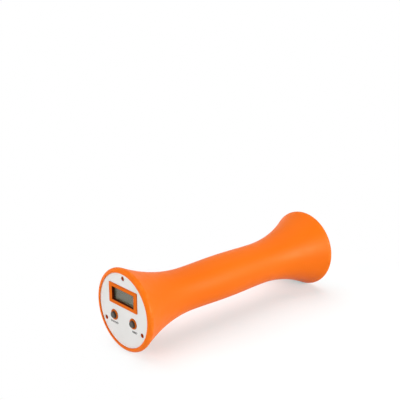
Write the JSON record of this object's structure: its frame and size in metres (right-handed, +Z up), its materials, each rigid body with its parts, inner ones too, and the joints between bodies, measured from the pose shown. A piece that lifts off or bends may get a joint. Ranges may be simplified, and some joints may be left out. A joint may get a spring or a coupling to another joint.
{
  "type": "hand weight with repetition counter",
  "caption": "Slim hand weight with trumpet-flared ends and a steel core; one end holds a recessed display, push buttons and a lift counter.",
  "frame": {"origin": "on the floor under the middle of the lying bar, the bottom centre of its shell", "axes": "+Z up, +Y along the bar from the display end to the plain end, +X to the display reader's right"},
  "size_m": [0.0582, 0.1811, 0.0582],
  "materials": {
    "shell_plastic": "satin moulded",
    "label_film": "matte film",
    "button_plastic": "matte moulded",
    "window_clear": "clear",
    "display_glass": "grey-green display",
    "holder_plastic": "moulded",
    "zebra_rubber": "layered silicone",
    "board_laminate": "solder mask",
    "chip_epoxy": "glossy",
    "black_plastic": "moulded",
    "cushion_rubber": "matte",
    "steel": "turned or stamped"
  },
  "bodies": {
    "housing": {"grip_shell": "shell_plastic", "front_cap": "shell_plastic", "rear_cap": "shell_plastic", "face_label": "label_film", "rear_label": "label_film", "lcd_window": "window_clear", "lcd_panel": "display_glass", "lcd_holder": "holder_plastic", "zebra_strip": "zebra_rubber", "main_board": "board_laminate", "chip_blob": "chip_epoxy", "switch_left": "black_plastic", "switch_right": "black_plastic", "sensor_base": "black_plastic", "battery_tray": "black_plastic", "module_cover": "black_plastic", "front_cushion": "cushion_rubber", "rear_cushion": "cushion_rubber", "weight_rod": "steel", "cap_screws": "steel", "board_screws": "steel", "crystal": "steel", "switch_terminals": "steel", "dome_left": "steel", "dome_right": "steel", "sensor_can": "steel", "sensor_pins": "steel", "battery_cell": "steel", "contact_positive": "steel", "contact_negative": "steel"},
    "left_button": {"button_left": "button_plastic", "plunger_left": "black_plastic"},
    "right_button": {"button_right": "button_plastic", "plunger_right": "black_plastic"},
    "lift_ball": {"sensor_ball": "steel"}
  },
  "joints": [
    {"name": "left_button_press", "type": "slide", "parent": "housing", "child": "left_button", "axis": [0, 1, 0], "range_m": [0, 0.0005], "stiffness_N_per_m": 1500, "springref_m": -0.0004, "deforming": ["dome_left"]},
    {"name": "right_button_press", "type": "slide", "parent": "housing", "child": "right_button", "axis": [0, 1, 0], "range_m": [0, 0.0005], "stiffness_N_per_m": 1500, "springref_m": -0.0004, "deforming": ["dome_right"]},
    {"name": "lift_ball_slide", "type": "slide", "parent": "housing", "child": "lift_ball", "axis": [0, 0, 1], "range_m": [0, 0.002]}
  ]
}
